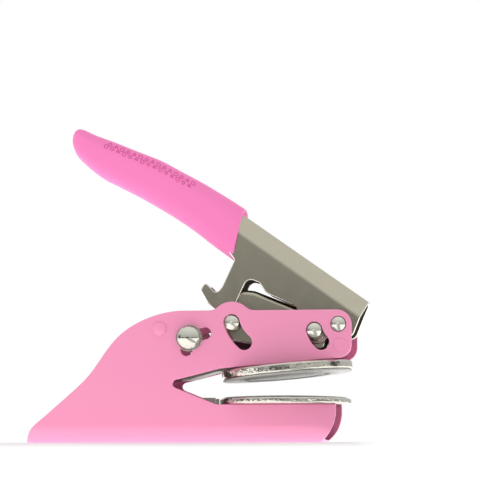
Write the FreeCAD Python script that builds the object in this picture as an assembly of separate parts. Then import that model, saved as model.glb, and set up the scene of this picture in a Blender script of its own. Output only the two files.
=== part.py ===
import FreeCAD, Part

import math
import os

from FreeCAD import Vector

# Hand seal embosser: a folded steel frame, a lever with a soft grip, a press arm and a pair of
# round dies on a hairpin clip. Millimetres, +Z up, +X towards the jaws, the lock knob seen on -Y.
# Every place is worked out from the die axis on the table; the last step moves the origin to the
# middle of the footprint.

# Allowances that every fit shares
overrun = 5.0
play = 0.3
running_fit = 0.05
slot_play = 0.25
tiny = 0.0001

# Frame: one sheet folded to a U, with a C-shaped side outline
sheet = 1.5
frame_width = 30.4
bend_radius = 7.0
cheek_margin = 5.6
tail_reach = 101.2
back_reach = 39.8
jaw_margin = 5.1
jaw_front_gap = 0.37
jaw_top_corner = 5.8
jaw_low_corner = 5.2
jaw_bend_reach = 24.5
jaw_bend_gap = 0.74
jaw_bend_corner = 12.0
throat_reach = 46.5
throat_rise = 8.4
throat_corner = 1.6
base_top = 14.9
base_reach = 20.65
base_step_reach = 25.8
base_step_corner = 4.0
base_front_ease = 2.5
base_front_flat = 2.4
ear_radius = 8.25
ear_blend = 5.0
back_shares = [(0.0, 0.0), (0.012, 0.040), (0.040, 0.108), (0.097, 0.173), (0.262, 0.344),
               (0.409, 0.510), (0.511, 0.679), (0.598, 0.805), (0.730, 0.914), (0.888, 0.982),
               (1.0, 1.0)]

# Lever pivot, and the link that hangs the press arm from the lever
pivot_reach = 21.7
link_dip = 16.7
closing_angle = 31.0
slot_end_angle = 1.0

# Pins: a thin shank, with thick ends that run in the cheeks' holes and slots
shank_radius = 2.2
pin_end_radius = 3.0
pin_dome = 1.3
travel_radius = 9.6
travel_dip = 14.3
travel_end_radius = 2.85
travel_shank_radius = 1.75
guide_back = 25.8
guide_rise = 5.45
guide_end_radius = 2.8
guide_shank_radius = 1.35
link_pin_radius = 1.8
link_head_radius = 2.9
link_head = 0.9
link_gap = 0.65

# Spacers riveted between the cheeks
spacer_radius = 1.9
spacer_head_radius = 2.65
rear_spacer_head = 0.8
front_spacer_head = 0.3
rear_spacer_back = 11.7
rear_spacer_drop = 7.0
front_spacer_ahead = 0.8
front_spacer_gap = 3.53
front_spacer_room = 1.2

# Lever: an inverted channel with sloped shoulders, its walls' corners as shares of its reach
lever_sheet = 1.3
lever_width = 18.4
lever_roof_width = 8.0
lever_bend = 1.8
lever_slope = 35.2
lever_roof_height = 13.8
lever_shoulder_height = 7.2
lever_reach = 54.0
pivot_boss = 5.3
roof_line_shares = [(0.235, 0.219, 0), (-0.772, 0.959, 0), (-0.846, 0.830, 0.019)]
tongue_shares = [(-1.476, 1.193, 0.056), (-1.550, 1.067, 0.056), (-0.865, 0.624, 0.019)]
leg_shares = [(-0.761, 0.476, 0.019), (-0.850, 0.285, 0.046), (-0.894, 0.231, 0.030),
              (-0.974, 0.317, 0.019), (-1.011, 0.259, 0.041), (-0.954, 0.163, 0.074),
              (-0.856, 0.085, 0.046), (-0.783, 0.096, 0.019)]
window_shares = [(-0.669, 0.343, 0.048), (-0.583, 0.311, 0.037), (-0.531, 0.233, 0.074),
                 (-0.283, 0.120, 0.046), (-0.339, 0.013, 0.037)]
lug_shares = [(-0.124, -0.170, 0.030), (-0.094, -0.093, 0.020)]
nose_shares = [(-0.049, -0.085, 0.028), (0.028, -0.102, 0.037), (0.096, -0.078, 0.056),
               (0.152, 0.063, 0.148)]
link_boss_shares = [(-2.3, 0.8, 1.1), (-1.3, -2.15, 1.6)]

# Press arm: a smaller inverted channel inside the lever, its corners as shares of its reach
arm_sheet = 1.3
arm_side_play = 0.4
arm_bend = 2.0
arm_boss = 4.4
arm_tail = 3.6
arm_bend_share = 0.35
arm_shares = [(-1.0, -0.003, 0), (-1.0, 0.235, 0.102), (-0.850, 0.655, 0.119), (-0.600, 0.625, 0.204),
              (0.041, 0.370, 0), (0.041, 0.031, 0), (-0.017, -0.149, 0), (-0.210, -0.149, 0.102)]
pad_gap = 1.05
pad_length = 8.0
pad_link_gap = 2.6
pad_lift = 3.05
pad_round = 3.9
pad_pin_radius = 1.5
pad_pin_drop = 2.8

# Grip: stations from mouth to end, each a top and a bottom place and a width share
grip_wall = 1.6
grip_mouth_shares = (-0.689, 0.476)
grip_reach = 69.0
grip_rise = 53.6
grip_corner_share = 0.62
grip_shares = [(0.003, 0.361, 0.052, 0.000, 1.00), (0.073, 0.439, 0.178, 0.114, 1.00),
               (0.183, 0.527, 0.289, 0.224, 1.00), (0.329, 0.633, 0.431, 0.350, 1.00),
               (0.496, 0.749, 0.585, 0.459, 1.00), (0.646, 0.828, 0.734, 0.558, 1.00),
               (0.789, 0.905, 0.848, 0.635, 0.97), (0.899, 0.966, 0.928, 0.732, 0.88),
               (0.958, 0.994, 0.981, 0.828, 0.70), (0.987, 0.981, 1.000, 0.894, 0.42)]

# Dies: holders, die plates and the closed gap for the paper
die_radius = 25.65
upper_holder_thickness = 3.5
lower_holder_thickness = 2.6
holder_edge = 0.9
lower_die_shift = 0.3
upper_plate_margin = 0.3
upper_plate_thickness = 0.65
lower_plate_margin = 1.65
lower_plate_thickness = 0.4
plate_edge = 0.15
face_radius = 18.5
face_rise = 0.3
paper_gap = 0.5
open_angle = 5.2
swing_reach = 78.7
swing_rise = 13.0

# Hairpin clip that carries both holders
clip_thickness = 1.0
clip_width = 13.0
clip_loop_radius = 2.2
clip_loop_reach = 50.0
clip_loop_rise = 7.7
clip_front_reach = 9.0
clip_bend_margin = 1.55
clip_bend_radius = 3.0
clip_upper_knee_back = 10.8
clip_upper_knee_rise = 10.6
clip_lower_knee_back = 15.3
clip_knee_radius = 6.0
clip_lift = 0.1
clip_tab_length = 9.2
clip_tab_rise = 2.9
rivet_radius = 1.2
rivet_head_radius = 2.1
rivet_head = 0.8
rivet_inset = 6.65
rivet_spacing = 8.0
rivet_depth = 1.5

# Lock: a cross pin with a domed knob on each side, in an L-shaped slot
lock_back = 16.6
lock_drop = 5.85
lock_pin_radius = 1.75
lock_slot_radius = 2.3
lock_travel = 6.5
lock_slope = 16.3
lock_leg_shift = 1.1
lock_leg_drop = 4.6
knob_radius = 4.4
knob_dome_radius = 5.6
knob_rise = 4.8
knob_bore = 2.0
washer_radius = 5.15
washer_thickness = 0.9
washer_gap = 0.1

# Return spring on the lever pivot
wire_radius = 0.45
coil_radius = 3.5
coil_turns = 4
coil_pitch = 1.5
coil_exit_lean = 30.0
spring_leg_overhang = 1.0

across = Vector(0, 1, 0)
upward = Vector(0, 0, 1)


def polar(centre, radius, degrees):
    """A place at a radius and an angle about a centre, seen from -Y."""
    turn = math.radians(degrees)
    return Vector(centre.x + radius * math.cos(turn), 0, centre.z + radius * math.sin(turn))


def opened(shape):
    """A closed die piece, or a place on it, swung up to rest."""
    moved = shape.copy()
    moved.rotate(swing, across, -open_angle)
    return moved


def opened_place(x, z):
    return opened(Part.Vertex(x, 0, z)).Point


def open_top(x):
    """How high the open upper holder's top plane lies at a place along the object."""
    seat = opened_place(0, upper_top)
    return seat.z + (x - seat.x) * math.tan(math.radians(open_angle))


# Half widths, and the dies' heights when closed
cheek_out = frame_width / 2
cheek_in = cheek_out - sheet
wall_out = lever_width / 2
arm_out = wall_out - lever_sheet - arm_side_play
arm_in = arm_out - arm_sheet
lower_seat = base_top + lower_holder_thickness
lower_top = lower_seat + lower_plate_thickness
upper_bottom = lower_top + face_rise + paper_gap + face_rise
upper_seat = upper_bottom + upper_plate_thickness
upper_top = upper_seat + upper_holder_thickness
rivet_reach = die_radius - rivet_inset
clip_bend_reach = die_radius + clip_bend_margin
clip_loop_height = base_top + clip_loop_rise
swing = Vector(-swing_reach, 0, base_top + swing_rise)

# Places of the pins, stacked up from the open dies
front_spacer_height = open_top(pivot_reach) + front_spacer_gap + spacer_radius
pivot_height = front_spacer_height + spacer_radius + front_spacer_room + pivot_boss - play
pivot = Vector(pivot_reach, 0, pivot_height)
front_spacer_spot = Vector(pivot_reach + front_spacer_ahead, 0, front_spacer_height)
travel_angle = 180 + travel_dip
travel = polar(pivot, travel_radius, travel_angle)
link_radius = travel_radius + travel_shank_radius + link_gap + arm_boss
link_angle = 180 + link_dip
link = polar(pivot, link_radius, link_angle)
guide = link + Vector(-guide_back, 0, guide_rise)
guide_centre = guide + pivot - link
arm_reach = guide_back + arm_tail
pad_place = link.x - link_pin_radius - pad_link_gap - pad_length / 2
lock = guide + Vector(-lock_back, 0, -lock_drop)
lock_end = polar(lock, lock_travel, lock_slope)
cheek_height = pivot_height + cheek_margin
jaw_reach = pivot_reach + jaw_margin
rear_spacer_spot = Vector(lock.x - rear_spacer_back, 0, cheek_height - rear_spacer_drop)
coil_exit_angle = 180 - coil_exit_lean
lever_along = Vector(-math.cos(math.radians(lever_slope)), 0, math.sin(math.radians(lever_slope)))
lever_up = Vector(lever_along.z, 0, -lever_along.x)


def chain(corners, closed=True):
    """Straight runs between corners (x, z, radius), each rounded by a tangent arc."""
    count = len(corners)
    spots = [Vector(x, 0, z) for x, z, radius in corners]
    arrivals, leavings, middles = [], [], []
    for index, (x, z, radius) in enumerate(corners):
        here = spots[index]
        if radius == 0:
            arrivals.append(here)
            leavings.append(here)
            middles.append(None)
            continue
        before = (spots[index - 1] - here).normalize()
        after = (spots[(index + 1) % count] - here).normalize()
        half = before.getAngle(after) / 2
        bisector = (before + after).normalize()
        arrivals.append(here + before * (radius / math.tan(half)))
        leavings.append(here + after * (radius / math.tan(half)))
        middles.append(here + bisector * (radius / math.sin(half) - radius))
    edges = []
    for index in range(count):
        if middles[index] is not None:
            edges.append(Part.Arc(arrivals[index], middles[index], leavings[index]).toShape())
        if index + 1 == count and not closed:
            break
        target = arrivals[(index + 1) % count]
        if leavings[index].distanceToPoint(target) > tiny:
            edges.append(Part.LineSegment(leavings[index], target).toShape())
    return edges


def shared(shares, origin, size):
    """Corners given as shares of a size, counted from an origin."""
    return [(origin.x + x * size, origin.z + z * size, radius * size) for x, z, radius in shares]


def prism(edges, half_width):
    """A side outline made solid, the same distance to both sides of the middle plane."""
    face = Part.Face(Part.Wire(Part.__sortEdges__(edges)))
    face.translate(across * -half_width)
    return face.extrude(across * (2 * half_width))


def box_between(x0, x1, half_width, z0, z1):
    """A box that reaches the same distance to both sides of the middle plane."""
    return Part.makeBox(x1 - x0, 2 * half_width, z1 - z0, Vector(x0, -half_width, z0))


def rod(spot, radius, half_length):
    """A plain round bar across the object."""
    return Part.makeCylinder(radius, 2 * half_length, spot - across * half_length, across)


def post(spot, radius, height):
    """A plain upright round bar."""
    return Part.makeCylinder(radius, height, spot, upward)


def side_pair(make, inner, outer):
    """Two like solids, one on each side, from a function of the lower and the upper Y."""
    return Part.makeCompound([make(inner, outer), make(-outer, -inner)])


def turned_pin(spot, profile, dome):
    """A pin turned about a line across the object, alike on both sides, with domed ends."""
    last_y, last_radius = profile[-1]
    outline = [(-y, radius) for y, radius in reversed(profile[1:])] + profile[1:]
    points = [Vector(radius, y, 0) for y, radius in outline]
    tip = last_y + dome
    ball = (last_radius ** 2 + dome ** 2) / (2 * dome)
    half = math.asin(last_radius / ball) / 2
    middle = Vector(ball * math.sin(half), tip - ball + ball * math.cos(half), 0)
    low_middle = Vector(middle.x, -middle.y, 0)
    edges = [Part.LineSegment(a, b).toShape() for a, b in zip(points, points[1:])]
    edges.append(Part.Arc(points[-1], middle, Vector(0, tip, 0)).toShape())
    edges.append(Part.LineSegment(Vector(0, tip, 0), Vector(0, -tip, 0)).toShape())
    edges.append(Part.Arc(Vector(0, -tip, 0), low_middle, points[0]).toShape())
    solid = Part.Face(Part.Wire(edges)).revolve(Vector(0, 0, 0), across, 360)
    solid.translate(spot)
    return solid


def arc_slot(centre, radius, start, end, half_width, reach):
    """A slot that follows an arc, cut right through from side to side."""
    edges = []
    middle = (start + end) / 2
    for size in (radius + half_width, radius - half_width):
        edges.append(Part.Arc(polar(centre, size, start), polar(centre, size, middle),
                              polar(centre, size, end)).toShape())
    for angle, push in ((start, -1), (end, 1)):
        hub = polar(centre, radius, angle)
        edges.append(Part.Arc(polar(centre, radius + half_width, angle),
                              polar(hub, half_width, angle + push * 90),
                              polar(centre, radius - half_width, angle)).toShape())
    return prism(edges, reach)


def straight_slot(start, end, radius, reach):
    """A straight slot with round ends, cut right through from side to side."""
    run = (end - start).normalize()
    side = Vector(-run.z, 0, run.x) * radius
    edges = [Part.LineSegment(start + side, end + side).toShape(),
             Part.Arc(end + side, end + run * radius, end - side).toShape(),
             Part.LineSegment(end - side, start - side).toShape(),
             Part.Arc(start - side, start - run * radius, start + side).toShape()]
    return prism(edges, reach)


def ear_corners():
    """The three corners of the round ear that rises over the guide pin's slot."""
    rise = cheek_height + ear_blend - guide.z
    angle = math.asin(rise / (ear_radius + ear_blend))
    apex = guide.z + ear_radius / math.sin(angle)
    foot = (apex - cheek_height) * math.tan(angle)
    return [(guide.x - foot, cheek_height, ear_blend),
            (guide.x, apex, ear_radius),
            (guide.x + foot, cheek_height, ear_blend)]


def cheek_edges():
    """The side outline of the frame: back curve, top with its ear, jaw, throat and base."""
    run = tail_reach - back_reach
    back = [Vector(-tail_reach + run * x, 0, cheek_height * z) for x, z in back_shares]
    curve = Part.BSplineCurve()
    curve.interpolate(back)
    front_low = base_top - base_front_flat
    base_front_radius = front_low + base_front_ease
    corners = [(-back_reach, cheek_height, 0)]
    corners += ear_corners()
    corners += [(jaw_reach, cheek_height, jaw_top_corner),
                (jaw_reach, open_top(jaw_reach) + jaw_front_gap, jaw_low_corner),
                (-jaw_bend_reach, open_top(-jaw_bend_reach) + jaw_bend_gap, jaw_bend_corner),
                (-throat_reach, base_top + throat_rise, throat_corner),
                (-base_step_reach, base_top, base_step_corner),
                (base_reach, base_top, 0),
                (base_reach, front_low, 0)]
    sweep = math.degrees(math.asin(front_low / base_front_radius))
    hub = Vector(base_reach - base_front_radius, 0, front_low)
    foot = polar(hub, base_front_radius, -sweep)
    edges = [curve.toShape()] + chain(corners, closed=False)
    edges.append(Part.Arc(polar(hub, base_front_radius, 0), polar(hub, base_front_radius, -sweep / 2),
                          foot).toShape())
    edges.append(Part.LineSegment(foot, back[0]).toShape())
    return edges


def folded_block(half_width, floor, radius, top):
    """A block with its two lower long edges rounded, longer than the frame."""
    block = box_between(-tail_reach - overrun, jaw_reach + overrun, half_width, floor, top)
    low = [edge for edge in block.Edges if abs(edge.CenterOfMass.z - floor) < tiny]
    long_edges = [edge for edge in low if abs(edge.CenterOfMass.y) > half_width / 2]
    return block.makeFillet(radius, long_edges)


def frame_cuts(reach):
    """The holes and slots that the pins, spacers and lock run through."""
    guide_start = link_angle - slot_end_angle
    travel_start = travel_angle - slot_end_angle
    swept = closing_angle + 2 * slot_end_angle
    lock_foot = lock + Vector(-lock_leg_shift, 0, -lock_leg_drop)
    return [rod(pivot, pin_end_radius, reach),
            rod(rear_spacer_spot, spacer_radius, reach),
            rod(front_spacer_spot, spacer_radius, reach),
            arc_slot(guide_centre, link_radius, guide_start, guide_start + swept,
                     guide_end_radius + slot_play, reach),
            arc_slot(pivot, travel_radius, travel_start, travel_start + swept,
                     travel_end_radius + slot_play, reach),
            straight_slot(lock, lock_end, lock_slot_radius, reach),
            straight_slot(lock, lock_foot, lock_slot_radius, reach)]


def frame_shell():
    """One folded sheet: two cheeks joined by the floor."""
    top = cheek_height + ear_radius + overrun
    folded = folded_block(cheek_out, 0, bend_radius, top)
    hollow = folded_block(cheek_in, sheet, bend_radius - sheet, top + overrun)
    shell = folded.cut(hollow).common(prism(cheek_edges(), cheek_out + overrun))
    return shell.cut(frame_cuts(cheek_out + overrun))


def spacer(spot, head):
    """A round bar between the cheeks, with a low riveted head outside each."""
    profile = [(0, spacer_radius), (cheek_out, spacer_radius), (cheek_out, spacer_head_radius)]
    return turned_pin(spot, profile, head)


def lever_pivot_pin():
    profile = [(0, shank_radius), (cheek_in, shank_radius), (cheek_in, pin_end_radius),
               (cheek_out, pin_end_radius)]
    return turned_pin(pivot, profile, pin_dome)


def pivot_bushes():
    """Bushes that keep the lever in the middle, between its walls and the cheeks."""
    def bush(low, high):
        start = pivot + across * low
        ring = Part.makeCylinder(pivot_boss - play, high - low, start, across)
        return ring.cut(Part.makeCylinder(shank_radius, high - low, start, across))
    return side_pair(bush, wall_out + play, cheek_in)


def travel_pin():
    """Fixed in the lever's walls, with its thick ends in the arc slots about the pivot."""
    profile = [(0, travel_shank_radius), (wall_out, travel_shank_radius),
               (wall_out, travel_end_radius), (cheek_out, travel_end_radius)]
    return turned_pin(travel, profile, pin_dome)


def guide_pin():
    """Fixed in the press arm, with its thick ends in the guide slots behind the ears."""
    profile = [(0, guide_shank_radius), (wall_out + play, guide_shank_radius),
               (wall_out + play, guide_end_radius), (cheek_out, guide_end_radius)]
    return turned_pin(guide, profile, pin_dome)


def link_pin():
    """Hinges the press arm inside the lever, with low heads outside the lever's walls."""
    profile = [(0, link_pin_radius), (wall_out, link_pin_radius), (wall_out, link_head_radius)]
    return turned_pin(link, profile, link_head)


def lever_section(along, inset):
    """The channel across the lever: walls, sloped shoulders and flat roof, drawn in by an inset."""
    half_width = wall_out - inset
    slope = lever_roof_height - lever_shoulder_height
    spread = wall_out - lever_roof_width / 2
    slant = math.hypot(slope, spread)
    roof_half = lever_roof_width / 2 - inset * (slant - spread) / slope
    shoulder = lever_shoulder_height - inset * (slant - slope) / spread
    roof = lever_roof_height - inset
    foot = -lever_reach
    outline = [(-half_width, foot), (-half_width, shoulder), (-roof_half, roof),
               (roof_half, roof), (half_width, shoulder), (half_width, foot)]
    points = [pivot + lever_along * along + lever_up * up + across * y for y, up in outline]
    return Part.makePolygon(points + points[:1])


def lever_bar(inset):
    """The bar that the channel is bent round, drawn in by an inset."""
    ends = [lever_section(along, inset) for along in (-lever_reach, 2 * lever_reach)]
    bar = Part.makeLoft(ends, True, True)
    bends = [edge for edge in bar.Edges if edge.Length > 2 * lever_reach
             and (edge.CenterOfMass - pivot).dot(lever_up) > 0]
    return bar.makeFillet(lever_bend - inset, bends)


def lever_channel():
    """Bent sheet: nose over the pivot, tongue in the grip, hooked rear leg, window and lug."""
    corners = shared(roof_line_shares + tongue_shares + leg_shares + window_shares, pivot, lever_reach)
    corners += shared(link_boss_shares, link, link_pin_radius)
    corners += shared(lug_shares + nose_shares, pivot, lever_reach)
    channel = prism(chain(corners), wall_out).common(lever_bar(0)).cut(lever_bar(lever_sheet))
    reach = wall_out + overrun
    return channel.cut([rod(pivot, shank_radius + running_fit, reach),
                        rod(travel, travel_shank_radius, reach),
                        rod(link, link_pin_radius, reach)])


def arm_block(half_width, drop):
    """The press arm's side outline with its round front boss, made solid and let down."""
    block = prism(chain(shared(arm_shares, link, arm_reach)), half_width)
    if drop == 0:
        bend_height = link.z + arm_bend_share * arm_reach
        bends = [edge for edge in block.Edges if edge.CenterOfMass.z > bend_height
                 and abs(edge.CenterOfMass.y) > half_width / 2]
        block = block.makeFillet(arm_bend, bends)
    block = block.fuse(rod(link, arm_boss, half_width)).removeSplitter()
    block.translate(upward * -drop)
    return block


def press_arm():
    """Bent sheet, hung from the link pin and guided by the guide pin."""
    arm = arm_block(arm_out, 0)
    for step in range(3):
        arm = arm.cut(arm_block(arm_in, arm_sheet + step * overrun))
    reach = arm_out + overrun
    return arm.cut([rod(link, link_pin_radius + running_fit, reach),
                    rod(guide, guide_shank_radius, reach),
                    rod(pad_pin_spot(), pad_pin_radius, reach)])


def pad_pin_spot():
    return Vector(pad_place, 0, link.z + pad_lift - pad_pin_drop)


def pressure_pad():
    """The block between the arm's walls that bears on the upper holder."""
    low, high = open_top(pad_place) + pad_gap, link.z + pad_lift
    rear, front = pad_place - pad_length / 2, pad_place + pad_length / 2
    corners = [(rear, high, 0), (front, high, 0), (front, low, pad_round), (rear, low, pad_round)]
    return prism(chain(corners), arm_in).cut(rod(pad_pin_spot(), pad_pin_radius, arm_out))


def pad_pin():
    return rod(pad_pin_spot(), pad_pin_radius, arm_out)


def grip_place(x_share, z_share):
    """A place in the grip's side view, counted back and up from its mouth."""
    back_share, rise_share = grip_mouth_shares
    mouth = pivot + Vector(back_share * lever_reach, 0, rise_share * lever_reach)
    return mouth + Vector(-x_share * grip_reach, 0, z_share * grip_rise)


def grip_section(top_x, top_z, low_x, low_z, width_share):
    """A rounded rectangle through a top and a bottom place of the grip."""
    top = grip_place(top_x, top_z)
    low = grip_place(low_x, low_z)
    centre = (top + low) * 0.5
    tall = top.distanceToPoint(low) / 2
    wide = (wall_out + grip_wall) * width_share
    up = (top - low).normalize()
    corner = grip_corner_share * min(tall, wide)
    edges = []
    spots = []
    for side, rise in ((1, -1), (1, 1), (-1, 1), (-1, -1)):
        hub = centre + across * (side * (wide - corner)) + up * (rise * (tall - corner))
        flat = hub + across * (side * corner)
        crown = hub + up * (rise * corner)
        middle = hub + (across * side + up * rise).normalize() * corner
        spots.append((flat, middle, crown) if side == rise else (crown, middle, flat))
    for index, (first, middle, last) in enumerate(spots):
        edges.append(Part.Arc(first, middle, last).toShape())
        edges.append(Part.LineSegment(last, spots[(index + 1) % len(spots)][0]).toShape())
    return Part.Wire(edges)


def grip():
    """A moulded sleeve over the lever's tongue, filled between the tongue's walls."""
    sections = [grip_section(*station) for station in grip_shares]
    return Part.makeLoft(sections, True, False)


def disc(x, z, radius, thickness, edge_round):
    """A round plate with its two rims rounded."""
    plate = post(Vector(x, 0, z), radius, thickness)
    rims = [edge for edge in plate.Edges if isinstance(edge.Curve, Part.Circle)]
    return plate.makeFillet(edge_round, rims)


def rivet_spots(z):
    return [Vector(-rivet_reach, side * rivet_spacing / 2, z) for side in (-1, 1)]


def upper_die_holder():
    holder = disc(0, upper_seat, die_radius, upper_holder_thickness, holder_edge)
    return opened(holder.cut([post(spot, rivet_radius, rivet_depth)
                              for spot in rivet_spots(upper_top - rivet_depth)]))


def upper_die_plate():
    """The die, with its worked face raised downwards."""
    plate = disc(0, upper_bottom, die_radius - upper_plate_margin, upper_plate_thickness, plate_edge)
    face = post(Vector(0, 0, upper_bottom - face_rise), face_radius, face_rise)
    return opened(plate.fuse(face).removeSplitter())


def lower_die_holder():
    holder = disc(-lower_die_shift, base_top, die_radius, lower_holder_thickness, holder_edge)
    return holder.cut([post(spot, rivet_radius, rivet_depth) for spot in rivet_spots(base_top)])


def lower_die_plate():
    """The counter die, with its worked face raised upwards."""
    radius = die_radius - lower_plate_margin
    plate = disc(-lower_die_shift, lower_seat, radius, lower_plate_thickness, plate_edge)
    face = post(Vector(-lower_die_shift, 0, lower_top), face_radius, face_rise)
    return plate.fuse(face).removeSplitter()


def upper_clip_rivets():
    """Rivets that hold the clip's upper leaf to the upper holder."""
    rise = clip_lift + clip_thickness + clip_lift
    rivets = []
    for spot in rivet_spots(upper_top - rivet_depth):
        head = post(spot + upward * (rivet_depth + rise), rivet_head_radius, rivet_head)
        rivets.append(opened(post(spot, rivet_radius, rivet_depth + rise).fuse(head)))
    return Part.makeCompound(rivets)


def lower_clip_rivets():
    """Rivets that hold the lower holder to the clip's lower leaf."""
    rivets = []
    for spot in rivet_spots(base_top - clip_thickness):
        head = post(spot - upward * rivet_head, rivet_head_radius, rivet_head)
        rivets.append(post(spot, rivet_radius, clip_thickness + rivet_depth).fuse(head))
    return Part.makeCompound(rivets)


def die_clip_spring():
    """A strip bent to a hairpin: under the lower holder, round its anchor, over the upper."""
    low = base_top - clip_thickness / 2
    high = upper_top + clip_lift + clip_thickness / 2
    front = opened_place(-clip_front_reach, high)
    bend = opened_place(-clip_bend_reach, high)
    loop_low, loop_high = clip_loop_height - clip_loop_radius, clip_loop_height + clip_loop_radius
    loop_rear = -clip_loop_reach - clip_loop_radius
    lower_knee = -clip_bend_reach - clip_lower_knee_back
    upper_knee = -clip_bend_reach - clip_upper_knee_back
    corners = [(-clip_front_reach, low, 0), (-clip_bend_reach, low, clip_bend_radius),
               (lower_knee, loop_low, clip_knee_radius),
               (loop_rear, loop_low, clip_loop_radius), (loop_rear, loop_high, clip_loop_radius),
               (upper_knee, base_top + clip_upper_knee_rise, clip_knee_radius),
               (bend.x, bend.z, clip_bend_radius), (front.x, front.z, 0)]
    path = Part.Wire(chain(corners, closed=False))
    half = clip_width / 2
    start = Vector(-clip_front_reach, -half, base_top - clip_thickness)
    stops = [start, start + across * clip_width, start + across * clip_width + upward * clip_thickness,
             start + upward * clip_thickness]
    strip = path.makePipeShell([Part.makePolygon(stops + stops[:1])], True, False)
    strip = strip.fuse(clip_tabs()).removeSplitter()
    hole = rivet_radius + clip_lift
    holes = [opened(post(spot, hole, 2 * overrun)) for spot in rivet_spots(upper_top - rivet_depth)]
    holes += [post(spot, rivet_radius, clip_thickness) for spot in rivet_spots(base_top - clip_thickness)]
    return strip.cut(holes)


def clip_tabs():
    """Two upright tabs on the clip's lower leaf that stand just behind the lower holder."""
    front = -clip_bend_reach
    top = base_top + clip_tab_rise
    rear = front - clip_tab_length
    corners = [(front, base_top - clip_thickness, 0), (front, top, 0), (rear, top, 0)]
    whole = prism(chain(corners), clip_width / 2)
    return whole.cut(prism(chain(corners), clip_width / 2 - clip_thickness))


def clip_anchor_rod():
    """The bar inside the frame that the hairpin's loop goes round."""
    spot = Vector(-clip_loop_reach, 0, clip_loop_height)
    return rod(spot, clip_loop_radius - clip_thickness / 2, cheek_in)


def knob_base():
    return cheek_out + washer_gap + washer_thickness


def lock_pin():
    return rod(lock, lock_pin_radius, knob_base() + knob_bore)


def lock_knobs():
    """A domed knob with a flat foot at each end of the lock pin."""
    knobs = []
    for side in (-1, 1):
        dome_place = lock + across * (side * (knob_base() + knob_rise - knob_dome_radius))
        knob = rod(lock, knob_radius, knob_base() + knob_rise).common(
            Part.makeSphere(knob_dome_radius, dome_place))
        knob = knob.cut(rod(lock, knob_radius + overrun, knob_base()))
        knobs.append(knob.cut(rod(lock, lock_pin_radius, knob_base() + knob_bore)))
    return Part.makeCompound(knobs)


def lock_washers():
    def washer(low, high):
        start = lock + across * low
        ring = Part.makeCylinder(washer_radius, high - low, start, across)
        return ring.cut(Part.makeCylinder(lock_pin_radius, high - low, start, across))
    return side_pair(washer, cheek_out + washer_gap, knob_base())


def spring_start():
    """Where the spring's first leg leaves the coil, in line with the side of the front spacer."""
    run = front_spacer_spot - pivot
    difference = coil_radius - spacer_radius - wire_radius
    return math.degrees(math.atan2(run.z, run.x) - math.acos(difference / run.Length))


def coil_place(degrees, y):
    return polar(pivot, coil_radius, degrees) + across * y


def return_spring():
    """A coil on the pivot pin, one leg on the front spacer and one under the lever's roof."""
    begin = spring_start()
    turned = (begin - coil_exit_angle) % 360 + 360 * coil_turns
    quarters = 4 * coil_turns
    width = coil_turns * coil_pitch
    entry = coil_place(begin, -width / 2)
    leaving = coil_place(begin - turned, width / 2)
    outward = polar(Vector(0, 0, 0), 1, begin + 90)
    inward = polar(Vector(0, 0, 0), 1, coil_exit_angle - 90)
    span = pivot.distanceToPoint(front_spacer_spot)
    reach = math.sqrt(span ** 2 - (coil_radius - spacer_radius - wire_radius) ** 2)
    foot = entry + outward * (reach + spring_leg_overhang)
    rise = lever_roof_height - lever_sheet - wire_radius - play - (leaving - pivot).dot(lever_up)
    end = leaving + inward * (rise / inward.dot(lever_up))
    edges = [Part.LineSegment(foot, entry).toShape()]
    for index in range(quarters):
        shares = [(index + step) / quarters for step in (0, 0.5, 1)]
        marks = [coil_place(begin - share * turned, (share - 0.5) * width) for share in shares]
        edges.append(Part.Arc(*marks).toShape())
    edges.append(Part.LineSegment(leaving, end).toShape())
    profile = Part.Wire(Part.Circle(foot, outward, wire_radius).toShape())
    return Part.Wire(edges).makePipeShell([profile], True, False)


def pieces():
    """Every piece by its name, placed about the die axis."""
    channel = lever_channel()
    return {
        "frame_shell": frame_shell(),
        "rear_spacer": spacer(rear_spacer_spot, rear_spacer_head),
        "front_spacer": spacer(front_spacer_spot, front_spacer_head),
        "clip_anchor_rod": clip_anchor_rod(),
        "lever_pivot_pin": lever_pivot_pin(),
        "pivot_bushes": pivot_bushes(),
        "return_spring": return_spring(),
        "lever_channel": channel,
        "grip": grip().cut(channel),
        "travel_pin": travel_pin(),
        "link_pin": link_pin(),
        "press_arm": press_arm(),
        "guide_pin": guide_pin(),
        "pressure_pad": pressure_pad(),
        "pad_pin": pad_pin(),
        "upper_die_holder": upper_die_holder(),
        "upper_die_plate": upper_die_plate(),
        "lower_die_holder": lower_die_holder(),
        "lower_die_plate": lower_die_plate(),
        "die_clip_spring": die_clip_spring(),
        "upper_clip_rivets": upper_clip_rivets(),
        "lower_clip_rivets": lower_clip_rivets(),
        "lock_pin": lock_pin(),
        "lock_knobs": lock_knobs(),
        "lock_washers": lock_washers(),
    }


def main():
    os.makedirs("parts", exist_ok=True)
    made = pieces()
    boxes = [shape.optimalBoundingBox(False) for shape in made.values()]
    middle = (min(box.XMin for box in boxes) + max(box.XMax for box in boxes)) / 2
    shift = Vector(-middle, 0, 0)
    for name, shape in made.items():
        shape.translate(shift)
        shape.exportStep("parts/" + name + ".step")
        box = shape.optimalBoundingBox(False)
        print(name, len(shape.Solids), round(shape.Volume, 1), shape.isValid(),
              [round(v, 2) for v in (box.XMin, box.XMax, box.YMin, box.YMax, box.ZMin, box.ZMax)])
    for label, spot in (("pivot", pivot), ("link", link), ("swing", swing), ("lock", lock)):
        print(label, round(spot.x + shift.x, 3), round(spot.z, 3))
    print("shift", round(shift.x, 3), "die swing per lever turn", round(open_angle / closing_angle, 5))


main()
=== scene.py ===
import math

import bmesh
import bpy
from mathutils import Matrix, Vector


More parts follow.
